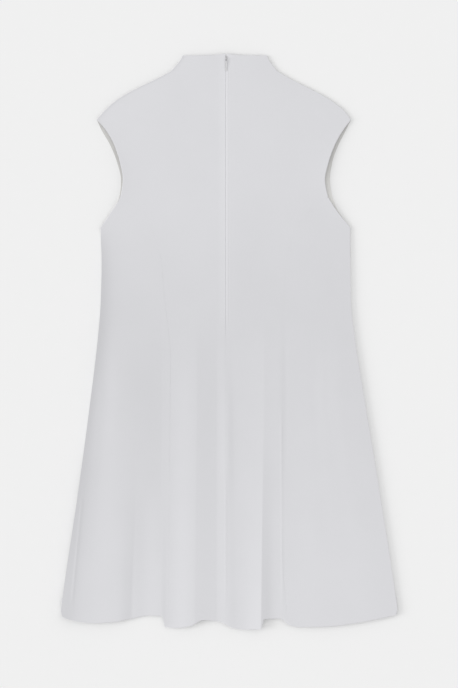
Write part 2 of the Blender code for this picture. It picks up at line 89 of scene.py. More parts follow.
class Side(Enum):
    """The two sides of the view."""

    LEFT = "left"
    RIGHT = "right"

    @property
    def sign(self) -> int:
        """Which way the side lies from the centre-back line."""
        return -1 if self is Side.LEFT else 1


class Edge(NamedTuple):
    """Distances from the centre-back line to the two sides, at one level."""

    down: float
    left: float
    right: float


class Level(NamedTuple):
    """How far the back stands off the front at one level, and how it ends at its side edges.

    It rounds down over a width, but keeps a share of its height right to the edge. The left edge
    also stands up in a lip, which dies away inward.
    """

    down: float
    loft: float
    rounding: float
    stand_left: float
    stand_right: float
    lip: float
    lip_reach: float


class Line(NamedTuple):
    """A crest or a foot of the skirt's folds, which runs down the skirt.

    Its place across and its height over the loft are told at the hem and at the height of the
    hips.
    """

    at_hem: float
    at_hips: float
    rise_hem: float
    rise_hips: float
    late: float = 1.0  # above 1 the line goes over from its one height to the other late
    bent_before: bool = False  # whether the cloth comes to the line on a slope, or levels out
    bent_after: bool = False  # whether it leaves on a slope


class Hang(NamedTuple):
    """How far the hem hangs below its level at one place across."""

    across: float
    dip: float


class Stitch(NamedTuple):
    """How far the princess seams draw the edges of their panels in, at one level."""

    down: float
    left: float
    right: float


def ease(share: Array) -> Array:
    """Go from 0 to 1 with a level start and end, and stay there beyond."""
    share = np.clip(share, 0.0, 1.0)
    return share * share * (3 - 2 * share)


@dataclass(frozen=True)
class Curve:
    """A smooth curve through a table's column, with no overshoot."""

    levels: tuple[float, ...]
    values: tuple[float, ...]

    @cached_property
    def slopes(self) -> Array:
        """The curve's slope at each of the table's rows."""
        chords = np.diff(self.values) / np.diff(self.levels)
        product = chords[:-1] * chords[1:]
        total = np.where(product > 0, chords[:-1] + chords[1:], 1.0)
        inner = np.where(product > 0, 2 * product / total, 0.0)
        return np.concatenate(([chords[0]], inner, [chords[-1]]))

    def at(self, down: Array) -> Array:
        """Read the curve.

        Args:
            down: Levels, which are held to the table's ends.

        Returns:
            The column's value at each level.
        """
        levels, values = np.asarray(self.levels), np.asarray(self.values)
        down = np.clip(down, levels[0], levels[-1])
        i = np.clip(np.searchsorted(levels, down, side="right") - 1, 0, len(levels) - 2)
        span = levels[i + 1] - levels[i]
        t = (down - levels[i]) / span
        start = values[i] * (1 + 2 * t) + span * self.slopes[i] * t
        end = values[i + 1] * (3 - 2 * t) + span * self.slopes[i + 1] * (t - 1)
        return start * (1 - t) ** 2 + end * t**2


@lru_cache(maxsize=None)
def curve_of(rows: tuple[NamedTuple, ...], column: str) -> Curve:
    """Make the curve of one column of a table against its first column."""
    return Curve(tuple(row[0] for row in rows), tuple(getattr(row, column) for row in rows))


def read(rows: tuple[NamedTuple, ...], column: str, at: Array) -> Array:
    """Read a column of a table between its rows."""
    return curve_of(rows, column).at(at)


@dataclass(frozen=True)
class Crease:
    """A soft ridge, or with a negative rise a trough, along a line that fades at its ends."""

    start: tuple[float, float]
    end: tuple[float, float]
    half_width: float
    rise: float
    fade: float = 0.03

    def lift(self, across: Array, down: Array) -> Array:
        """Say how far the crease raises places.

        Args:
            across: The places' distances from the centre-back line.
            down: Their levels.

        Returns:
            The rise at each place.
        """
        run = Vector(self.end) - Vector(self.start)
        length, way = run.length, run.normalized()
        along = (across - self.start[0]) * way.x + (down - self.start[1]) * way.y
        aside = (across - self.start[0]) * way.y - (down - self.start[1]) * way.x
        shown = ease(along / self.fade) * ease((length - along) / self.fade)
        return self.rise * shown * np.exp(-((aside / self.half_width) ** 2))


@dataclass(frozen=True)
class DressForm:
    """The form of the laid dress: its outline, its seams, and the height of the back."""

    neck_side: tuple[Edge, ...] = (
        Edge(0.0000, 0.0743, 0.0703),
        Edge(0.0140, 0.0820, 0.0765),
        Edge(0.0325, 0.0952, 0.0890),
    )
    shoulder: tuple[Edge, ...] = (
        Edge(0.0325, 0.0952, 0.0890),
        Edge(0.0490, 0.1268, 0.1182),
        Edge(0.0655, 0.1612, 0.1510),
        Edge(0.0826, 0.1895, 0.1812),
        Edge(0.0998, 0.2093, 0.2034),
        Edge(0.1161, 0.2236, 0.2156),
    )
    back_armhole: tuple[Edge, ...] = (
        Edge(0.1161, 0.2236, 0.2156),
        Edge(0.1342, 0.2077, 0.2022),
        Edge(0.1600, 0.1933, 0.1877),
        Edge(0.1900, 0.1835, 0.1769),
        Edge(0.2200, 0.1784, 0.1707),
        Edge(0.2460, 0.1820, 0.1752),
        Edge(0.2700, 0.1947, 0.1889),
        Edge(0.3027, 0.2171, 0.2147),
    )
    front_armhole: tuple[Edge, ...] = (
        Edge(0.1161, 0.2236, 0.2156),
        Edge(0.1342, 0.2151, 0.2069),
        Edge(0.1600, 0.2003, 0.1938),
        Edge(0.1900, 0.1885, 0.1833),
        Edge(0.2200, 0.1820, 0.1792),
        Edge(0.2460, 0.1844, 0.1830),
        Edge(0.2700, 0.1947, 0.1918),
        Edge(0.3027, 0.2171, 0.2147),
    )
    side: tuple[Edge, ...] = (
        Edge(0.3027, 0.2171, 0.2147),
        Edge(0.3663, 0.2148, 0.2146),
        Edge(0.4300, 0.2162, 0.2157),
        Edge(0.4954, 0.2213, 0.2226),
        Edge(0.5642, 0.2294, 0.2334),
        Edge(0.7706, 0.2568, 0.2669),
        Edge(0.9426, 0.2823, 0.2932),
        Edge(0.9620, 0.2842, 0.2954),
        Edge(0.9705, 0.2818, 0.2940),
    )
    princess_seam: tuple[Edge, ...] = (
        Edge(0.2500, 0.1838, 0.1758),
        Edge(0.2700, 0.1530, 0.1490),
        Edge(0.3000, 0.1300, 0.1235),
        Edge(0.3300, 0.1195, 0.1115),
        Edge(0.3600, 0.1120, 0.1052),
        Edge(0.4200, 0.1065, 0.1000),
        Edge(0.5300, 0.0960, 0.0985),
        Edge(0.7400, 0.0982, 0.0968),
        Edge(0.8600, 0.0988, 0.0975),
        Edge(0.9705, 0.0992, 0.1060),
    )
    stitches: tuple[Stitch, ...] = (
        Stitch(0.25, 0.00006, 0.00005),
        Stitch(0.45, 0.00016, 0.00006),
        Stitch(0.60, 0.00018, 0.00006),
        Stitch(0.74, 0.00008, 0.00006),
        Stitch(0.80, 0.00003, 0.00010),
        Stitch(0.86, 0.00003, 0.00020),
        Stitch(0.97, 0.00003, 0.00020),
    )
    body: tuple[Level, ...] = (
        Level(0.000, 0.0013, 0.060, 0.0, 0.0, 0.0010, 0.002),
        Level(0.035, 0.0018, 0.080, 0.0, 0.0, 0.0012, 0.003),
        Level(0.110, 0.0027, 0.110, 0.0, 0.0, 0.0012, 0.003),
        Level(0.130, 0.0028, 0.110, 0.0, 0.0, 0.0002, 0.003),
        Level(0.280, 0.0036, 0.150, 0.0, 0.0, 0.0002, 0.014),
        Level(0.345, 0.0035, 0.130, 0.6, 0.3, 0.0044, 0.011),
        Level(0.470, 0.0032, 0.070, 1.0, 0.6, 0.0062, 0.0095),
        Level(0.660, 0.0030, 0.060, 1.0, 0.6, 0.0064, 0.0100),
        Level(0.760, 0.0030, 0.060, 1.0, 0.6, 0.0060, 0.0105),
        Level(0.971, 0.0030, 0.060, 1.0, 0.6, 0.0056, 0.018),
    )
    lines: tuple[Line, ...] = (
        Line(-0.2900, -0.2350, 0.0000, 0.0000),
        Line(-0.2400, -0.2150, 0.0002, 0.0012),
        Line(-0.1900, -0.1850, 0.0010, 0.0027),
        Line(-0.1640, -0.1500, -0.0024, 0.0010, 2.0, True, True),
        Line(-0.1135, -0.1110, -0.0013, -0.0026, 2.0, True),
        Line(-0.1010, -0.1030, -0.0022, -0.0028),
        Line(-0.0985, -0.0965, -0.0021, -0.0028),
        Line(-0.0540, -0.0500, 0.0020, -0.0004, 1.0, False, True),
        Line(-0.0165, -0.0165, -0.0013, -0.0029, 1.0, True),
        Line(0.0045, -0.0020, -0.0004, -0.0025),
        Line(0.0200, 0.0130, -0.0010, -0.0029),
        Line(0.0600, 0.0655, 0.0044, -0.0010, 1.6, True, True),
        Line(0.0870, 0.0880, -0.0013, -0.0013),
        Line(0.1160, 0.1110, -0.0010, -0.0019),
        Line(0.1700, 0.1500, 0.0001, -0.0014),
        Line(0.2100, 0.1700, 0.0002, -0.0008),
        Line(0.2600, 0.2000, 0.0002, 0.0000),
        Line(0.3000, 0.2400, 0.0000, 0.0005),
    )
    hang: tuple[Hang, ...] = (
        Hang(-0.2900, 0.0000),
        Hang(-0.2816, 0.0037),
        Hang(-0.2644, 0.0103),
        Hang(-0.2334, 0.0149),
        Hang(-0.1990, 0.0135),
        Hang(-0.1646, 0.0078),
        Hang(-0.1302, 0.0023),
        Hang(-0.1095, 0.0032),
        Hang(-0.1061, 0.0212),
        Hang(-0.0889, 0.0236),
        Hang(-0.0614, 0.0202),
        Hang(-0.0408, 0.0097),
        Hang(-0.0132, 0.0121),
        Hang(0.0143, 0.0240),
        Hang(0.0315, 0.0262),
        Hang(0.0600, 0.0252),
        Hang(0.0650, 0.0080),
        Hang(0.0930, 0.0075),
        Hang(0.1106, 0.0189),
        Hang(0.1278, 0.0218),
        Hang(0.1691, 0.0211),
        Hang(0.2138, 0.0164),
        Hang(0.2620, 0.0080),
        Hang(0.3000, 0.0000),
    )
    fold_start: float = 0.42  # the waist, above which there are no folds
    hips: float = 0.60
    lean: float = 1.0  # how far a steep flank tucks in under its crest, as a share of its height
    creases: tuple[Crease, ...] = (
        Crease((-0.2470, 0.755), (-0.2670, 0.955), 0.0016, 0.0007),
        Crease((-0.2421, 0.660), (-0.2930, 1.050), 0.0160, 0.0017, 0.10),
        Crease((-0.1400, 0.740), (-0.1390, 1.050), 0.0180, -0.0010, 0.08),
        Crease((0.0000, 0.220), (0.0000, 0.500), 0.0600, 0.0018, 0.08),
        Crease((0.0050, 0.006), (0.0050, 0.480), 0.0009, -0.00026),
        Crease((0.0035, 0.006), (0.0035, 0.480), 0.0048, 0.00055),
        Crease((0.0030, 0.540), (0.0030, 0.800), 0.0085, 0.00075, 0.10),
        Crease((-0.0004, 0.700), (-0.0004, 0.975), 0.0020, 0.00028, 0.08),
        Crease((0.1020, 0.440), (0.1040, 0.760), 0.0050, -0.00025, 0.10),
        Crease((0.0950, 0.600), (0.0975, 0.975), 0.0024, 0.00032, 0.06),
    )
    back_join: float = 0.2500  # where the princess seams leave the armholes
    neck_top: float = 0.0024  # how far the neck's middle lies below its level
    neck_rise: float = 0.0026  # how much lower still the rest of its top edge lies
    neck_bump: float = 0.018  # how far the edge is lifted beside the zip
    hem_reach: float = 0.16  # the stretch above the hem that follows its wave
    gape: float = 0.0026  # how far the back stands off the front at the middle of an armhole
    gape_reach: float = 0.030  # how fast that dies away inward
    slit_half: float = 0.0009  # half the open slit beside the slider
    slit_open: float = 0.014
    slit_closed: float = 0.022
    slit_aside: float = -0.0008  # where the slit's line lies below the slider

    def back_edge(self, side: Side, down: Array) -> Array:
        """Distance from the centre-back line to the back's outer edge.

        Args:
            side: Which edge.
            down: Levels.

        Returns:
            The edge's distance at each level.
        """
        reach = read(self.side, side.value, down)
        for rows in (self.back_armhole, self.shoulder, self.neck_side):
            reach = np.where(down <= rows[-1].down, read(rows, side.value, down), reach)
        return reach

    def front_edge(self, side: Side, down: Array) -> Array:
        """Distance from the centre-back line to the front's outer edge.

        Args:
            side: Which edge.
            down: Levels.

        Returns:
            The edge's distance at each level.
        """
        rows = self.front_armhole
        armhole = (down > rows[0].down) & (down < rows[-1].down)
        return np.where(armhole, read(rows, side.value, down), self.back_edge(side, down))

    def slit(self, down: Array) -> Array:
        """Half the gap between the two centre backs: the zip's slit, then a seam's gap."""
        closing = (down - self.slit_open) / (self.slit_closed - self.slit_open)
        return SEAM_GAP / 2 + (self.slit_half - SEAM_GAP / 2) * (1 - ease(closing))

    def slit_line(self, down: Array) -> Array:
        """Where the line between the two centre backs lies across."""
        return self.slit_aside * ease((down - self.slit_open) / self.slit_open)

    def princess(self, side: Side, down: Array) -> Array:
        """Distance from the centre-back line to one side's princess seam."""
        return read(self.princess_seam, side.value, down)

    def drawn(self, side: Side, down: Array) -> Array:
        """How far one side's princess seam draws its two edges in."""
        return read(self.stitches, side.value, down)

    def line_at(self, line: Line, down: Array) -> tuple[Array, Array]:
        """Where one of the folds' lines lies.

        Args:
            line: The line.
            down: Levels.

        Returns:
            Its place across and its height over the loft at each level.
        """
        share = np.clip((down - self.hips) / (HEM_DOWN - self.hips), 0.0, None)
        place = line.at_hips + (line.at_hem - line.at_hips) * share
        rise = line.rise_hips + (line.rise_hem - line.rise_hips) * share**line.late
        begun = ease((down - self.fold_start) / (self.hips - self.fold_start))
        return place, rise * begun

    def relief(self, across: Array, down: Array) -> tuple[Array, Array]:
        """What the folds do to places of the skirt.

        Args:
            across: Places across.
            down: Their levels.

        Returns:
            How far the folds raise them, and how far they push them sideways.
        """
        place, rise = self.line_at(self.lines[0], down)
        push = np.zeros_like(place)
        for line, before in zip(self.lines[1:], self.lines):
            last_place, last_rise = self.line_at(before, down)
            next_place, next_rise = self.line_at(line, down)
            share = np.clip((across - last_place) / (next_place - last_place), 0.0, 1.0)
            step = next_rise - last_rise
            rise = rise + step * self.bend(share, before.bent_after, line.bent_before)
            push = push + self.lean * np.abs(step) * np.sin(2 * np.pi * share) / (2 * np.pi)
        return rise, push

    @staticmethod
    def bend(share: Array, sharp_start: bool, sharp_end: bool) -> Array:
        """Go from one line's height to the next one's.

        Args:
            share: How far along.
            sharp_start: Whether to set off on a slope.
            sharp_end: Whether to arrive on a slope.

        Returns:
            The share of the way up at each place.
        """
        if sharp_start and sharp_end:
            return share
        if sharp_start:
            return 1 - (1 - share) ** 2
        return share**2 if sharp_end else ease(share)

    def section(self, across: Array, down: Array) -> tuple[Array, Array]:
        """The back's outer face in the level sections.

        Args:
            across: Places along the sections.
            down: The sections' levels.

        Returns:
            The places once the folds have pushed them, and their heights.
        """
        rise, push = self.relief(across, down)
        loft = read(self.body, "loft", down) + rise
        top, end = self.back_armhole[0].down, self.back_armhole[-1].down
        gape = self.gape * np.sin(np.pi * np.clip((down - top) / (end - top), 0.0, 1.0))
        rounding = read(self.body, "rounding", down)
        height, lift = loft, np.zeros_like(loft)
        for side in Side:
            inward = self.inward(side, across, down)
            round_off = np.sin(np.pi / 2 * np.clip(inward / rounding, 0.0, 1.0))
            stand = read(self.body, "stand_" + side.value, down)
            height = height * (stand + (1 - stand) * round_off)
            lift = lift + gape * np.exp(-inward / self.gape_reach)
            if side is Side.LEFT:
                reach = read(self.body, "lip_reach", down)
                lift = lift + read(self.body, "lip", down) * np.exp(-inward / reach)
        for crease in self.creases:
            height = height + crease.lift(across, down)
        return across + push, LAID + height + lift

    def hem_level(self, across: Array, down: Array) -> Array:
        """How far down places end up once the neck's curve and the hem's wave are in."""
        wave = np.clip((down - HEM_DOWN + self.hem_reach) / self.hem_reach, 0.0, None) ** 2
        return self.neck_level(across, down) + wave * read(self.hang, "dip", across)

    def neck_level(self, across: Array, down: Array) -> Array:
        """How far down places end up once the line of the neck's top edge is in."""
        lower = self.neck_rise * (1 - np.exp(-((across / self.neck_bump) ** 2)))
        return down + (self.neck_top + lower) * (1 - ease(down / NECK_DEEP))

    @cached_property
    def middle(self) -> tuple[float, float]:
        """The across and down of the middle of the laid dress, from the solids' own box."""
        low, high = (Vector(corner) for corner in CAD_BOX)
        left = max(row.left for row in self.side)
        right = max(row.right for row in self.side)
        return (right - left) / 2, (high.y - low.y) / 2 + self.neck_top

    def inward(self, side: Side, across: Array, down: Array) -> Array:
        """How far inside one of the back's outer edges places lie, none below 0."""
        return np.clip(self.back_edge(side, down) - side.sign * across, 0.0, None)

    def points(self, across: Array, down: Array, depth: Array) -> Array:
        """Places in the dress's own frame.

        Args:
            across: Places across.
            down: Their levels.
            depth: How far they lie under the back's outer face, or, at an outer edge, below it.

        Returns:
            One point for each place, in the last axis.
        """
        place, height = self.section(across, down)
        before, after = self.section(across - STEP, down), self.section(across + STEP, down)
        run, climb = after[0] - before[0], after[1] - before[1]
        inside = np.minimum(*(self.inward(side, across, down) for side in Side))
        aside = climb / np.hypot(run, climb) * ease(inside / ROLL)
        middle_across, middle_down = self.middle
        x = place + aside * depth - middle_across
        y = middle_down - self.hem_level(across, down)
        z = height - np.sign(run) * np.sqrt(1 - aside**2) * depth
        return np.stack((x, y, z), axis=-1)

    def flat_points(self, across: Array, down: Array, height: Array) -> Array:
        """Places of the front, which lies flat, at heights over the floor."""
        x, y = across - self.middle[0], self.middle[1] - self.neck_level(across, down)
        return np.stack((x, y, height + np.zeros_like(across)), axis=-1)


@dataclass(frozen=True)
class Turn:
    """One row or column of a sheet's grid: its distance from the edge, and how far it is turned.

    facing is 1 on the flat, 0 on the edge itself and -1 on what is turned under.
    """

    inset: float
    facing: float


def turned_edge(radius: float, allowance: float = 0.0) -> list[Turn]:
    """The turns of an edge, from its hidden end out to where the sheet is flat.

    Args:
        radius: The edge's radius across the sheet's plane.
        allowance: How much cloth is turned under; 0 ends the sheet at its outermost line.

    Returns:
        The turns in order.
    """
    count = EDGE_STEPS if allowance else 0
    hidden = [Turn(radius + allowance * k / count, -1.0) for k in range(count, 0, -1)]
    arc = [0.5 * math.pi * k / EDGE_STEPS for k in range(-count, EDGE_STEPS + 1)]
    return hidden + [Turn(radius * (1 - math.cos(angle)), math.sin(angle)) for angle in arc]


@dataclass(frozen=True)
class Rim:
    """A side edge of a sheet: where it runs, how wide it rolls over and how deep it drops."""

    line: Profile
    width: Profile
    drop: Profile

    @classmethod
    def of(cls, side: Side, *sizes: Callable[[Side, Array], Array]) -> "Rim":
        """Make one side's rim from a line, a width and a drop that are told for either side."""
        return cls(*(partial(size, side) for size in sizes))


def constant(value: float) -> Profile:
    """Make a size that is the same at every level."""
    return lambda down: np.full_like(down, value)


@dataclass
class Sheet:
    """A panel of cloth on a grid of rows down and columns across, as a thin shell."""

    name: str
    inner: Rim
    outer: Rim
    place: Callable[[Array, Array, Array], Array]
    top: list[Turn]
    bottom: list[Turn]
    start: float
    end: float
    corners: tuple[float, ...] = ()  # levels of the outline's corners, which get a row each
    row_spacing: float = 0.004
    column_spacing: float = 0.0016
    thickness: float = 0.0007
    roll: float = ROLL

    def rows(self) -> tuple[Array, Array]:
        """Work out the grid's rows.

        Returns:
            Their levels, and their facings.
        """
        top = [(self.start + turn.inset, turn.facing) for turn in self.top]
        bottom = [(self.end - turn.inset, turn.facing) for turn in reversed(self.bottom)]
        low, high = top[-1][0], bottom[0][0]
        stops = [low, *(level for level in self.corners if low < level < high), high]
        for begin, finish in zip(stops, stops[1:]):
            count = max(2, round((finish - begin) / self.row_spacing))
            top += [(begin + (finish - begin) * i / count, 1.0) for i in range(1, count)]
            top.append((finish, 1.0))
        found = np.array(top[:-1] + bottom)
        return found[:, 0], found[:, 1]

    def columns(self, down: Array) -> tuple[Array, Array]:
        """Work out the grid's columns in each row.

        Args:
            down: The rows' levels.

        Returns:
            The places across, a row for each level, and the columns' facings.
        """
        rim = turned_edge(1.0)
        inset = np.array([turn.inset for turn in rim])[None, :]
        facing = np.array([turn.facing for turn in rim])
        inner, outer = self.inner.line(down), self.outer.line(down)
        width = np.abs(outer - inner)
        sign = np.sign((outer - inner).sum())
        count = max(4, round(float(width.max()) / self.column_spacing))
        shares = np.linspace(0.0, 1.0, count + 1)[1:-1]
        inner_width = np.minimum(self.inner.width(down), width / 4)[:, None]
        outer_width = np.minimum(self.outer.width(down), width / 4)[:, None]
        near = inner[:, None] + sign * inset * inner_width
        far = outer[:, None] - sign * inset[:, ::-1] * outer_width
        middle = near[:, -1:] + (far[:, :1] - near[:, -1:]) * shares[None, :]
        facings = np.concatenate((facing, np.ones(len(shares)), facing[::-1]))
        return np.concatenate((near, middle, far), axis=1), facings

    def grid(self) -> Array:
        """Work out the grid's points.

        Returns:
            An array of rows, columns and coordinates.
        """
        down, row_facing = self.rows()
        across, column_facing = self.columns(down)
        level = np.repeat(down[:, None], across.shape[1], axis=1)
        rolled = row_facing[:, None] * column_facing[None, :]
        near = np.arange(across.shape[1])[None, :] < across.shape[1] // 2
        drop = np.where(near, self.inner.drop(down)[:, None], self.outer.drop(down)[:, None])
        depth = self.roll * (1 - rolled) + (drop - self.roll) * (1 - column_facing[None, :])
        return self.place(across, level, depth)

    def cut(self) -> tuple[tuple[float, float], float]:
        """Measure the panel laid out flat.

        Returns:
            Its greatest width and its length, with what is turned under laid out, and its area.
        """
        points = self.grid()
        widths = np.linalg.norm(np.diff(points, axis=1), axis=2).sum(axis=1)
        middle = points[:, points.shape[1] // 2]
        steps = np.linalg.norm(np.diff(middle, axis=0), axis=1)
        area = float((steps * (widths[1:] + widths[:-1]) / 2).sum())
        length = float(steps.sum())
        return (max(float(widths.max()), area / length), length), area

    def build(self, finish: bpy.types.Material, upward: bool = True) -> bpy.types.Object:
        """Make the shell's object.

        Args:
            finish: Its material.
            upward: Whether the outer face looks up.

        Returns:
            The object, at the origin.
        """
        points = self.grid()
        rows, columns = points.shape[:2]
        index = np.arange(rows * columns).reshape(rows, columns)
        quads = np.stack(
            (index[:-1, :-1], index[1:, :-1], index[1:, 1:], index[:-1, 1:]), axis=-1
        ).reshape(-1, 4)
        clockwise = points[0, 0, 0] > points[0, -1, 0]
        if clockwise == upward:
            quads = quads[:, ::-1]
        mesh = bpy.data.meshes.new(self.name)
        mesh.from_pydata(points.reshape(-1, 3).tolist(), [], quads.tolist())
        mesh.validate()
        sheet = bpy.data.objects.new(self.name, mesh)
        bpy.context.scene.collection.objects.link(sheet)
        wall = sheet.modifiers.new("wall", "SOLIDIFY")
        wall.thickness = self.thickness
        wall.offset = -1.0
        activate(sheet)
        bpy.ops.object.modifier_apply(modifier=wall.name)
        bpy.ops.object.shade_smooth_by_angle(angle=SMOOTH_CLOTH)
        sheet.data.materials.append(finish)
        return sheet


def activate(thing: bpy.types.Object) -> None:
    """Select one object alone and make it the active one.

    Args:
        thing: The object.
    """
    bpy.ops.object.select_all(action="DESELECT")
    thing.select_set(True)
    bpy.context.view_layer.objects.active = thing


class Graph:
    """A node tree that is filled one node at a time."""

    def __init__(self, tree: bpy.types.NodeTree) -> None:
        """Keep the tree to fill."""
        self.tree = tree

    def give(self, node: bpy.types.Node, inputs: dict) -> None:
        """Set a node's inputs.

        Args:
            node: The node.
            inputs: Values or other nodes' outputs, by the input's name or number.
        """
        for key, value in inputs.items():
            if isinstance(value, Socket):
                self.tree.links.new(value, node.inputs[key])
            else:
                node.inputs[key].default_value = value

    def add(self, kind: str, inputs: dict | None = None, **settings: object) -> bpy.types.Node:
        """Add a node.

        Args:
            kind: Its type.
            inputs: What its inputs are given.
            **settings: Its own properties.

        Returns:
            The node.
        """
        node = self.tree.nodes.new(kind)
        for name, value in settings.items():
            setattr(node, name, value)
        self.give(node, inputs or {})
        return node

    def math(self, operation: str, *values: Socket | float) -> Socket:
        """Add a math node and return its output."""
        return self.add("ShaderNodeMath", dict(enumerate(values)), operation=operation).outputs[0]

    def noise(
        self, place: Socket, scale: Socket | float, detail: float, rough: float = 0.5
    ) -> Socket:
        """Add a noise and return its value."""
        inputs = {"Vector": place, "Scale": scale, "Detail": detail, "Roughness": rough}
        return self.add("ShaderNodeTexNoise", inputs).outputs[0]

    def ramp(
        self, value: Socket, start: float, end: float, gain: float = 1.0, kind: str = "SMOOTHSTEP"
    ) -> Socket:
        """Go from 0 to a gain between two values, and stay there beyond."""
        inputs = {"Value": value, 1: start, 2: end, 4: gain}
        return self.add("ShaderNodeMapRange", inputs, interpolation_type=kind).outputs[0]

    def tint(self, colour: Point, tone: Socket) -> Socket:
        """Scale a colour by a tone."""
        inputs = {0: colour, "Scale": tone}
        return self.add("ShaderNodeVectorMath", inputs, operation="SCALE").outputs[0]


class Paint(Graph):
    """The node tree of a new material."""

    def __init__(self, name: str) -> None:
        """Make the material.

        Args:
            name: Its name.
        """
        self.material = bpy.data.materials.new(name)
        self.material.use_nodes = True
        super().__init__(self.material.node_tree)
        self.shader = self.tree.nodes["Principled BSDF"]
        self.place = self.add("ShaderNodeTexCoord").outputs["Object"]


@lru_cache(maxsize=None)
def crepe_grain() -> bpy.types.NodeTree:
    """The pebbled grain of crepe, as a shader node group.

    Returns:
        The group, with a height between 0 and 2 and a tone round 1.
    """
    group = bpy.data.node_groups.new("crepe_grain", "ShaderNodeTree")
    for way, names in (("INPUT", ("Vector", "Pebble", "Mottle")), ("OUTPUT", ("Height", "Tone"))):
        for name in names:
            kind = "Vector" if name == "Vector" else "Float"
            group.interface.new_socket(name, in_out=way, socket_type="NodeSocket" + kind)
    graph = Graph(group)
    given = graph.add("NodeGroupInput").outputs
    yarns = []
    for name, stretch in (("warp", (1.0, 0.45, 1.0)), ("weft", (0.55, 1.0, 1.0))):
        inputs = {"Vector": given["Vector"], "Scale": stretch}
        yarn = graph.add("ShaderNodeMapping", inputs, label=name).outputs[0]
        yarns.append(graph.noise(yarn, given["Pebble"], 2.0, 0.55))
    height = graph.math("ADD", *yarns)
    swing = graph.math("SUBTRACT", graph.noise(given["Vector"], 16.0, 3.0), 0.5)
    both = graph.math("ADD", swing, graph.math("SUBTRACT", height, 1.0))
    tone = graph.math("MULTIPLY_ADD", both, given["Mottle"], 1.0)
    graph.add("NodeGroupOutput", {"Height": height, "Tone": tone})
    return group


@dataclass(frozen=True)
class ClothFinish:
    """A matt woven cloth with a pebbled grain."""

    name: str
    colour: Point
    roughness: float = 0.9
    sheen: float = 0.12
    sheen_roughness: float = 0.6
    shine: float = 0.25
    pebble: float = 1100.0
    mottle: float = 0.03
    relief: float = 0.00006
    zip_line: tuple[float, float] | None = None  # where the zip runs, and where its tape ends
    painted_shade_at: float | None = None  # the level round which shade is painted into the tone
    backing: tuple[float, float, float] = (0.0115, 0.0050, 0.026)  # half width, softness, gain
    painted_shade: tuple[float, float, float] = (0.28, 0.55, 0.045)  # the painted shade's reach above, below, its depth; a negative depth paints light

    def backed(self, paint: Paint) -> Socket:
        """Make the tone brighter where the zip's tape lies under the cloth.

        Args:
            paint: The material being made.

        Returns:
            The tone's gain, round 1.
        """
        (line, end), (half, soft, gain) = self.zip_line, self.backing
        across, along, _ = paint.add("ShaderNodeSeparateXYZ", {0: paint.place}).outputs
        off = paint.math("ABSOLUTE", paint.math("SUBTRACT", across, line))
        inside = paint.ramp(off, half + soft, half - soft, gain)
        above = paint.ramp(along, end - 5 * soft, end + 5 * soft, kind="LINEAR")
        return paint.math("MULTIPLY_ADD", inside, above, 1.0)

    def painted_shade_gain(self, paint: Paint) -> Socket:
        """Paint shade into the tone round one level, or with a negative depth paint light in,
        paler.

        Args:
            paint: The material being made.

        Returns:
            The tone's gain, round 1.
        """
        above, below, depth = self.painted_shade
        along = paint.add("ShaderNodeSeparateXYZ", {0: paint.place}).outputs[1]
        sides = [paint.ramp(along, self.painted_shade_at + off, self.painted_shade_at) for off in (above, -below)]
        return paint.math("MULTIPLY_ADD", paint.math("MULTIPLY", *sides), -depth, 1.0)

    def build(self) -> bpy.types.Material:
        """Make the material.

        Returns:
            The material.
        """
        paint = Paint(self.name)
        inputs = {"Vector": paint.place, "Pebble": self.pebble, "Mottle": self.mottle}
        height, tone = paint.add("ShaderNodeGroup", inputs, node_tree=crepe_grain()).outputs
        gains = [self.backed(paint)] if self.zip_line else []
        # painted shade, or with a negative depth painted light, round one level
        gains += [self.painted_shade_gain(paint)] if self.painted_shade_at is not None else []
        for gain in gains:
            tone = paint.math("MULTIPLY", tone, gain)
        inputs = {"Height": height, "Strength": 1.0, "Distance": self.relief}
        looks = {
            "Base Color": paint.tint(self.colour, tone),
            "Normal": paint.add("ShaderNodeBump", inputs).outputs[0],
            "Roughness": self.roughness,
            "Sheen Weight": self.sheen,
            "Sheen Roughness": self.sheen_roughness,
            "Specular IOR Level": self.shine,
        }
        paint.give(paint.shader, looks)
        return paint.material


@dataclass(frozen=True)
class MetalFinish:
    """Cast metal or moulded plastic, a little uneven."""

    name: str
    colour: Point
    roughness: float = 0.35
    metallic: float = 1.0
    grit: float = 700.0
    relief: float = 0.00002
    rough_swing: float = 0.2
    tone_swing: float = 0.08

    def build(self) -> bpy.types.Material:
        """Make the material.

        Returns:
            The material.
        """
        paint = Paint(self.name)
        uneven = paint.noise(paint.place, self.grit, 3.0)
        low, pale = self.roughness - self.rough_swing / 2, 1 - self.tone_swing / 2
        tone = paint.math("MULTIPLY_ADD", uneven, self.tone_swing, pale)
        inputs = {"Height": uneven, "Distance": self.relief}
        looks = {
            "Metallic": self.metallic,
            "Base Color": paint.tint(self.colour, tone),
            "Roughness": paint.math("MULTIPLY_ADD", uneven, self.rough_swing, low),
            "Normal": paint.add("ShaderNodeBump", inputs).outputs[0],
        }
        paint.give(paint.shader, looks)
        return paint.material


@dataclass(frozen=True)
class FloorFinish:
    """A plain pale matt floor."""

    name: str
    colour: Point
    cloud: float = 40.0
    tone_swing: float = 0.01

    def build(self) -> bpy.types.Material:
        """Make the material.

        Returns:
            The material.
        """
        paint = Paint(self.name)
        cloud = paint.noise(paint.place, self.cloud, 4.0)
        tone = paint.math("MULTIPLY_ADD", cloud, self.tone_swing, 1 - self.tone_swing / 2)
        matt = {"Roughness": 1.0, "Specular IOR Level": 0.0}
        paint.give(paint.shader, {"Base Color": paint.tint(self.colour, tone), **matt})
        return paint.material


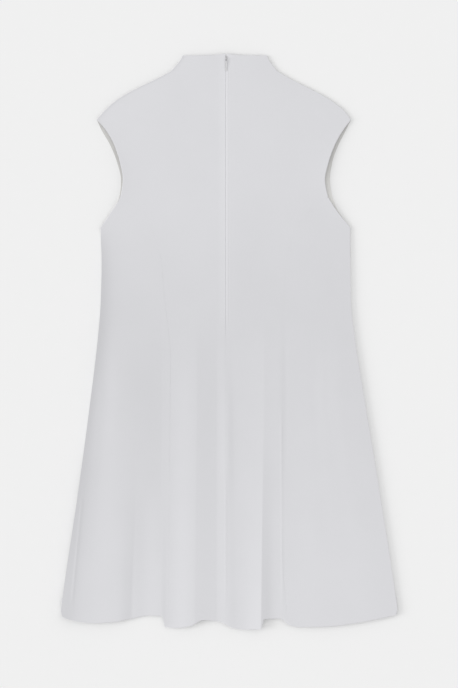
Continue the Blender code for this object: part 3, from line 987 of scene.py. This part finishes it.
@dataclass
class Back:
    """The four panels of the back."""

    form: DressForm
    finish: bpy.types.Material
    side_drop: float = LAID / 2
    side_panel_top: float = 0.2504
    seam_half: float = 0.00001  # half the gap that shows between two panels
    zip_half: float = 0.00004  # and over the closed zip
    seam_roll: float = 0.00003  # how far the centre-back seam draws its two edges in
    stand_roll: float = 0.00008  # how wide the outer edges roll over where they stand high
    full_stand: tuple[float, float] = (0.0050, 0.0018)  # how high that is, left and right
    wall_end: float = 0.006  # the stretch above the hem in which an edge leaves the front's
    lip_left: tuple[float, float] = (0.0003, 0.0008)  # how wide the slit's lip rolls, how deep
    lip_right: tuple[float, float] = (0.0007, 0.0006)
    zip_end: float = 0.455
    zip_fade: float = 0.050
    join_fade: float = 0.012  # the stretch in which a joined edge goes over into a free one
    hem_clear: float = 0.002  # how far above the turned hem that ends

    def standing(self, side: Side, down: Array) -> Array:
        """How high the outer edge stands over the flat garment.

        Args:
            side: Which edge.
            down: Levels.

        Returns:
            The height at each level.
        """
        body = self.form.body
        height = read(body, "loft", down) * read(body, "stand_" + side.value, down)
        return height + (read(body, "lip", down) if side is Side.LEFT else 0.0)

    def edge_width(self, side: Side, down: Array) -> Array:
        """How wide the outer edge rolls over, which is less where it stands high."""
        share = ease(self.standing(side, down) / self.full_stand[side is Side.RIGHT])
        return ROLL + (self.stand_roll - ROLL) * share

    def back_drop(self, side: Side, down: Array) -> Array:
        """How far the back's outer edge drops, from where it stands down to the front's."""
        share = ease((HEM_DOWN - down) / self.wall_end)
        return self.edge_drop(down) + self.standing(side, down) * share

    def edge_drop(self, down: Array) -> Array:
        """How far a flat outer edge rolls down: to the other panel's, or a turned edge's radius.

        Args:
            down: Levels.

        Returns:
            The drop at each level.
        """
        form = self.form
        neck = ease((down - NECK_TURN) / self.join_fade)
        armhole = ease((form.back_armhole[0].down - down) / self.join_fade)
        below = ease((down - form.back_armhole[-1].down) / self.join_fade)
        hem = ease((HEM_DOWN - HEM_TURN - self.hem_clear - down) / self.join_fade)
        joined = neck * np.maximum(armhole, below) * hem
        return ROLL + (self.side_drop - ROLL) * joined

    def past_zip(self, down: Array) -> Array:
        """How far the centre-back edge has gone over from the zip to the seam, from 0 to 1."""
        return ease((down - self.zip_end) / self.zip_fade)

    def lip(self, size: int, side: Side, down: Array) -> Array:
        """How wide, for 0, or how deep, for 1, the slit's lip rolls, or the seam below the zip."""
        full = (self.lip_left if side is Side.LEFT else self.lip_right)[size]
        return full + (self.seam_roll - full) * self.past_zip(down)

    def slit_edge(self, side: Side, down: Array) -> Array:
        """Where a centre back's inner edge lies across."""
        closed = self.zip_half + (self.seam_half - self.zip_half) * self.past_zip(down)
        half = self.form.slit(down) - SEAM_GAP / 2 + closed
        return self.form.slit_line(down) + side.sign * half

    def centre_edge(self, side: Side, down: Array) -> Array:
        """Where a centre back's outer edge lies across."""
        form, seam = self.form, self.form.princess(side, down) - self.seam_half
        return side.sign * np.where(down < form.back_join, form.back_edge(side, down), seam)

    def seamed(self, free: Profile, side: Side, down: Array) -> Array:
        """A size of that edge, which is free down to the armhole's lower end, and then sewn."""
        return np.where(down < self.form.back_join, free(down), self.form.drawn(side, down))

    def side_seam(self, side: Side, down: Array) -> Array:
        """Where a side back's inner edge lies across."""
        return side.sign * (self.form.princess(side, down) + self.seam_half)

    def side_edge(self, side: Side, down: Array) -> Array:
        """Where a side back's outer edge lies across."""
        return side.sign * self.form.back_edge(side, down)

    def centre(self, side: Side) -> Sheet:
        """Describe a centre back.

        Args:
            side: Which one.

        Returns:
            Its sheet.
        """
        form = self.form
        width, drop = (partial(self.seamed, free) for free in (constant(ROLL), self.edge_drop))
        return Sheet(
            f"centre_back_{side.value}_cloth",
            Rim.of(side, self.slit_edge, partial(self.lip, 0), partial(self.lip, 1)),
            Rim.of(side, self.centre_edge, width, drop),
            form.points,
            turned_edge(ROLL, NECK_TURN),
            turned_edge(ROLL, HEM_TURN),
            0.0,
            HEM_DOWN,
            (form.neck_side[-1].down, form.shoulder[-1].down, form.back_join),
        )

    def side(self, side: Side) -> Sheet:
        """Describe a side back.

        Args:
            side: Which one.

        Returns:
            Its sheet.
        """
        form = self.form
        return Sheet(
            f"side_back_{side.value}_cloth",
            Rim.of(side, self.side_seam, form.drawn, form.drawn),
            Rim.of(side, self.side_edge, self.edge_width, self.back_drop),
            form.points,
            turned_edge(ROLL),
            turned_edge(ROLL, HEM_TURN),
            self.side_panel_top,
            HEM_DOWN,
            (form.back_armhole[-1].down,),
        )

    def build(self) -> list[bpy.types.Object]:
        """Make the four panels.

        Returns:
            Their objects.
        """
        made = []
        for side in Side:
            for kind, sheet in (("centre_back", self.centre(side)), ("side_back", self.side(side))):
                panel = sheet.build(self.finish)
                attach(panel, "dress")
                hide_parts(f"{kind}_{side.value}")
                flat, area = sheet.cut()
                made.append(panel)
        return made


@dataclass
class Front:
    """The front, one plain panel that lies flat under the back."""

    form: DressForm
    finish: bpy.types.Material
    top: float = 0.0050
    hem: float = 0.9660

    def edge(self, side: Side, down: Array) -> Array:
        """Where one of the front's side edges lies across."""
        return side.sign * self.form.front_edge(side, down)

    def build(self) -> bpy.types.Object:
        """Make the panel, whose outer face is its underside.

        Returns:
            Its object.
        """
        form, drop = self.form, Back(self.form, self.finish).edge_drop
        sheet = Sheet(
            "front_cloth",
            *(Rim(partial(self.edge, side), constant(ROLL), drop) for side in Side),
            form.flat_points,
            turned_edge(ROLL, NECK_TURN),
            turned_edge(ROLL, HEM_TURN),
            self.top,
            self.hem,
            (form.neck_side[-1].down, form.shoulder[-1].down, form.front_armhole[-1].down),
            column_spacing=0.004,
            row_spacing=0.006,
        )
        panel = sheet.build(self.finish, upward=False)
        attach(panel, "dress")
        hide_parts("front")
        flat, area = sheet.cut()
        return panel


@dataclass
class ZipTape:
    """The zip's two tapes and the coil that closes them, under the slit."""

    form: DressForm
    tape: bpy.types.Material
    coil: bpy.types.Material
    half_width: float = 0.0120
    top: float = 0.0040
    end: float = 0.4750
    under: float = WALL + SEAM_GAP
    thickness: float = 0.0005
    coil_top: float = 0.0145
    coil_end: float = 0.4550
    coil_pitch: float = 0.0013
    coil_radius: float = 0.0011
    coil_flat: Point = (1.0, 0.45, 0.55)
    wire: float = 0.00026
    coil_under: float = 0.0014

    def place(self, across: Array, down: Array, depth: Array) -> Array:
        """Places of the tape, told by how far they lie under its outer face."""
        return self.form.points(across, down, depth + self.under)

    def build_tape(self) -> bpy.types.Object:
        """Make the tapes.

        Returns:
            Their object.
        """
        roll = self.thickness / 2
        edge, end = constant(roll), turned_edge(roll)
        sheet = Sheet(
            "zip_tape_weave",
            *(Rim(constant(side.sign * self.half_width), edge, edge) for side in Side),
            self.place,
            end,
            end,
            self.top,
            self.end,
            row_spacing=0.008,
            column_spacing=0.0012,
            thickness=self.thickness,
            roll=roll,
        )
        weave = sheet.build(self.tape)
        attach(weave, "dress")
        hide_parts("zip_tape")
        flat, area = sheet.cut()
        return weave

    def build_coil(self) -> bpy.types.Object:
        """Make the coil from one turn, repeated down the slit and laid on the cloth's form.

        Returns:
            Its object.
        """
        bpy.ops.mesh.primitive_torus_add(
            major_segments=10,
            minor_segments=5,
            major_radius=self.coil_radius,
            minor_radius=self.wire,
        )
        coil = bpy.context.object
        coil.name = "zip_coil"
        coil.scale = self.coil_flat
        bpy.ops.object.transform_apply(location=False, rotation=False, scale=True)
        turns = coil.modifiers.new("turns", "ARRAY")
        turns.count = round((self.coil_end - self.coil_top) / self.coil_pitch)
        turns.use_relative_offset = False
        turns.use_constant_offset = True
        turns.constant_offset_displace = (0.0, -self.coil_pitch, 0.0)
        activate(coil)
        bpy.ops.object.modifier_apply(modifier=turns.name)
        found = np.empty(3 * len(coil.data.vertices))
        coil.data.vertices.foreach_get("co", found)
        found = found.reshape(-1, 3)
        down = self.coil_top - found[:, 1]
        laid = self.form.points(np.zeros_like(down), down, np.full_like(down, self.coil_under))
        laid[:, 0] += found[:, 0]
        laid[:, 2] += found[:, 2]
        coil.data.vertices.foreach_set("co", laid.ravel())
        bpy.ops.object.shade_smooth_by_angle(angle=SMOOTH_CLOTH)
        coil.data.materials.append(self.coil)
        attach(coil, "dress")
        return coil


def select_where(thing: bpy.types.Object, kind: str, wanted: Callable) -> None:
    """In edit mode, select alone the faces or the edges that a test picks out.

    Args:
        thing: The object that is edited.
        kind: "FACE" or "EDGE".
        wanted: The test, which is given a face or an edge of the mesh.
    """
    bpy.ops.mesh.select_mode(type=kind)
    bpy.ops.mesh.select_all(action="DESELECT")
    shape = bmesh.from_edit_mesh(thing.data)
    for element in shape.faces if kind == "FACE" else shape.edges:
        element.select_set(bool(wanted(element)))
    shape.select_flush_mode()
    bmesh.update_edit_mesh(thing.data)


def new_box(name: str, size: Point) -> bpy.types.Object:
    """Add a box round the origin.

    Args:
        name: Its name.
        size: Its length along each axis.

    Returns:
        The object, with its scale applied.
    """
    bpy.ops.mesh.primitive_cube_add(size=1.0)
    thing = bpy.context.object
    thing.name = name
    thing.scale = size
    bpy.ops.object.transform_apply(location=False, rotation=False, scale=True)
    return thing


def round_edges(thing: bpy.types.Object, width: float) -> None:
    """Round a hard piece's sharp edges and shade it smooth.

    Args:
        thing: The object.
        width: How wide the rounding is.
    """
    activate(thing)
    bevel = thing.modifiers.new("rounding", "BEVEL")
    bevel.width = width
    bevel.segments = 2
    bevel.limit_method = "ANGLE"
    bpy.ops.object.modifier_apply(modifier=bevel.name)
    bpy.ops.object.shade_smooth_by_angle(angle=SMOOTH_METAL)


def settle(thing: bpy.types.Object, place: Vector, tilt: float = 0.0) -> None:
    """Put a piece modelled round the origin in its place, and apply it.

    Args:
        thing: The object.
        place: Where its origin goes.
        tilt: How far it turns about X.
    """
    activate(thing)
    thing.location = place
    thing.rotation_euler.x = tilt
    bpy.ops.object.transform_apply(location=True, rotation=True, scale=False)


@dataclass
class ZipSlider:
    """The slider: a crown over the slit, a stem down to the coil, and an arch for the pull."""

    form: DressForm
    finish: bpy.types.Material
    down: float = 0.0098
    crown: Point = (0.0028, 0.0092, 0.0006)
    nose: float = 0.70  # width of the crown's lower end, as a share of its width
    stem: tuple[float, float] = (0.0008, 0.0050)
    arch_half: float = 0.0023
    arch_wire: float = 0.00045
    arch_rise: float = 0.0020
    pin_rise: float = 0.0008

    @property
    def crown_low(self) -> Vector:
        """The middle of the crown's underside."""
        point = self.form.points(np.zeros(1), np.full(1, self.down), np.zeros(1))[0]
        return Vector(point) + Vector((0.0, 0.0, SEAM_GAP))

    @property
    def pin(self) -> Vector:
        """The middle of the pull's pin."""
        return self.crown_low + Vector((0.0, 0.0, self.crown[2] + self.pin_rise))

    def build_crown(self) -> bpy.types.Object:
        """Make the crown, narrower at its lower end and hollowed along its top.

        Returns:
            Its object, with its underside's middle at the origin.
        """
        width, length, height = self.crown
        crown = new_box("zip_slider_metal", self.crown)
        bpy.ops.object.mode_set(mode="EDIT")
        select_where(crown, "FACE", lambda face: face.normal.y < -FACING)
        bpy.ops.transform.resize(value=(self.nose, 1.0, 1.0))
        select_where(crown, "FACE", lambda face: face.normal.z > FACING)
        bpy.ops.mesh.inset(thickness=width / 6)
        bpy.ops.transform.translate(value=(0.0, 0.0, height / 4))
        bpy.ops.object.mode_set(mode="OBJECT")
        round_edges(crown, height / 4)
        settle(crown, Vector((0.0, 0.0, height / 2)))
        return crown

    def build_arch(self) -> bpy.types.Object:
        """Make the arch from the upper half of a ring.

        Returns:
            Its object, standing on the plane of the origin.
        """
        bpy.ops.mesh.primitive_torus_add(
            major_segments=24,
            minor_segments=8,
            major_radius=self.arch_half,
            minor_radius=self.arch_wire,
            rotation=(0.0, math.pi / 2, 0.0),
        )
        arch = bpy.context.object
        arch.scale = (self.arch_rise / self.arch_half, 1.0, 1.0)
        bpy.ops.object.transform_apply(location=False, rotation=True, scale=True)
        bpy.ops.object.mode_set(mode="EDIT")
        bpy.ops.mesh.select_all(action="SELECT")
        bpy.ops.mesh.bisect(
            plane_co=(0.0, 0.0, 0.0), plane_no=(0.0, 0.0, 1.0), clear_inner=True, use_fill=True
        )
        bpy.ops.object.mode_set(mode="OBJECT")
        bpy.ops.object.shade_smooth_by_angle(angle=SMOOTH_METAL)
        return arch

    def build(self) -> bpy.types.Object:
        """Make the slider.

        Returns:
            Its object.
        """
        crown = self.build_crown()
        arch = self.build_arch()
        settle(arch, Vector((0.0, 0.0, self.crown[2])))
        deep = WALL + SEAM_GAP
        stem = new_box("stem", (*self.stem, deep))
        round_edges(stem, self.stem[0] / 5)
        settle(stem, Vector((0.0, 0.0, -deep / 2)))
        bpy.ops.object.select_all(action="DESELECT")
        for piece in (stem, arch, crown):
            piece.select_set(True)
        bpy.context.view_layer.objects.active = crown
        bpy.ops.object.join()
        settle(crown, self.crown_low)
        crown.data.materials.clear()
        crown.data.materials.append(self.finish)
        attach(crown, "dress")
        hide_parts("zip_slider")
        return crown


@dataclass
class PullTab:
    """The slider's pull: a slim plate with an eye round the arch and a sunk blade."""

    finish: bpy.types.Material
    length: float = 0.0205
    half_width: float = 0.0016
    thickness: float = 0.0006
    eye: tuple[float, float] = (0.0026, 0.0030)
    rim: float = 0.0007
    sunk: float = 0.00018
    blade_from: float = 0.0062
    end_round: float = 0.8  # the lower end's rounding, as a share of the half width
    tilt: float = math.radians(2.2)

    def build(self, pin: Vector) -> bpy.types.Object:
        """Make the pull.

        Args:
            pin: The middle of its pin.

        Returns:
            Its object.
        """
        top = self.thickness / 2
        pull = new_box("zip_pull_metal", (2 * self.half_width, self.length + top, self.thickness))
        settle(pull, Vector((0.0, top - (self.length + top) / 2, 0.0)))
        bpy.ops.object.mode_set(mode="EDIT")
        across, along = (1.0, 0.0, 0.0), (0.0, 1.0, 0.0)
        cuts = [((side * self.eye[0] / 2, 0.0, 0.0), across) for side in (-1, 1)]
        cuts += [((0.0, -down, 0.0), along) for down in (top, self.eye[1], self.blade_from)]
        for place, way in cuts:
            bpy.ops.mesh.select_all(action="SELECT")
            bpy.ops.mesh.bisect(plane_co=place, plane_no=way)

        def in_eye(face: bmesh.types.BMFace) -> bool:
            """Whether a face covers the eye's hole."""
            place = face.calc_center_median()
            inside = abs(place.x) < self.eye[0] / 2 and -self.eye[1] < place.y < -top
            return abs(face.normal.z) > FACING and inside

        def on_blade(face: bmesh.types.BMFace) -> bool:
            """Whether a face is the upper one of the blade."""
            place = face.calc_center_median()
            return face.normal.z > FACING and place.y < -self.blade_from

        def end_corner(edge: bmesh.types.BMEdge) -> bool:
            """Whether an edge stands upright at the lower end."""
            first, second = (corner.co for corner in edge.verts)
            upright = abs(first.z - second.z) > top
            outer = abs(first.x) > self.half_width - STEP
            return upright and outer and first.y < -self.length + STEP

        select_where(pull, "FACE", in_eye)
        bpy.ops.mesh.bridge_edge_loops()
        select_where(pull, "EDGE", end_corner)
        bpy.ops.mesh.bevel(offset=self.end_round * self.half_width, segments=5, affect="EDGES")
        select_where(pull, "FACE", on_blade)
        bpy.ops.mesh.inset(thickness=self.rim)
        bpy.ops.transform.translate(value=(0.0, 0.0, -self.sunk))
        bpy.ops.object.mode_set(mode="OBJECT")
        round_edges(pull, self.thickness / 8)
        settle(pull, pin, self.tilt)
        pull.data.materials.append(self.finish)
        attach(pull, "pull_tab")
        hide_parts("zip_pull")
        return pull


@dataclass
class Studio:
    """The floor, the soft light and the camera over the dress."""

    floor_finish: bpy.types.Material
    floor_size: float = 12.0
    floor_low: float = 0.0001
    camera_at: Point = (-0.0007, -0.0041, 3.2)
    view_height: float = 1.190
    sensor: float = 36.0
    sky: float = 0.85
    sun: float = 1.10
    sun_spread: float = math.radians(26)
    sun_height: float = math.radians(20)

    def build(self) -> None:
        """Make the floor, the light and the camera."""
        scene = bpy.context.scene
        mesh = bpy.data.meshes.new("floor")
        shape = bmesh.new()
        bmesh.ops.create_grid(shape, x_segments=1, y_segments=1, size=self.floor_size / 2)
        bmesh.ops.translate(shape, verts=shape.verts, vec=(0, 0, -self.floor_low))
        shape.to_mesh(mesh)
        shape.free()
        floor = bpy.data.objects.new("floor", mesh)
        floor.data.materials.append(self.floor_finish)
        scene.collection.objects.link(floor)

        world = bpy.data.worlds.new("studio")
        world.use_nodes = True
        world.node_tree.nodes["Background"].inputs["Color"].default_value = (1, 1, 1, 1)
        world.node_tree.nodes["Background"].inputs["Strength"].default_value = self.sky
        scene.world = world

        key = bpy.data.lights.new("key", "SUN")
        key.energy = self.sun
        key.angle = self.sun_spread
        lamp = bpy.data.objects.new("key", key)
        lamp.rotation_euler = (0.0, self.sun_height - math.pi / 2, 0.0)
        scene.collection.objects.link(lamp)

        lens = bpy.data.cameras.new("camera")
        lens.sensor_width = self.sensor
        lens.lens = self.sensor * self.camera_at[2] / self.view_height
        eye = bpy.data.objects.new("camera", lens)
        eye.location = self.camera_at
        scene.collection.objects.link(eye)
        scene.camera = eye
        scene.view_settings.view_transform = "Standard"


def main() -> None:
    """Build the dress and its studio, piece by piece."""
    logging.basicConfig(level=logging.INFO, format="%(name)s: %(message)s")
    form = DressForm()
    line, top = -form.middle[0], form.middle[1]
    # the outer cloth gets painted shade, a deeper tone, round the waist
    crepe = ClothFinish(
        "white_crepe", (0.718, 0.718, 0.741), zip_line=(line, top - 0.475), painted_shade_at=top - 0.480
    ).build()
    # the front's inside: a darker, warmer copy of the crepe, partly the cloth's wrong side and
    # partly painted shade for the armhole slivers, with painted light, a paler tone, round the
    # armholes' lower half
    inside = ClothFinish(
        "white_crepe_inside_painted_shade", (0.640, 0.635, 0.620), painted_shade_at=top - 0.262, painted_shade=(0.09, 0.06, -0.32)
    ).build()
    pieces = Back(form, crepe).build()
    pieces.append(Front(form, inside).build())
    tape = ClothFinish("woven_tape", (0.62, 0.62, 0.63), pebble=1600.0, relief=0.0001).build()
    coil = MetalFinish("white_coil", (0.62, 0.62, 0.63), roughness=0.4, metallic=0.0).build()
    zip_parts = ZipTape(form, tape, coil)
    pieces += [zip_parts.build_tape(), zip_parts.build_coil()]
    slider = ZipSlider(form, MetalFinish("dark_metal", (0.56, 0.56, 0.57)).build())
    pieces.append(slider.build())
    pull = PullTab(MetalFinish("satin_metal", (0.71, 0.71, 0.72)).build())
    pieces.append(pull.build(slider.pin))
    for piece in pieces:
        log.info("%s: %d faces", piece.name, len(piece.data.polygons))
    Studio(FloorFinish("pale_floor", (0.90, 0.90, 0.90)).build()).build()
    log.info("floor, light and camera")


if __name__ == "__main__":
    main()
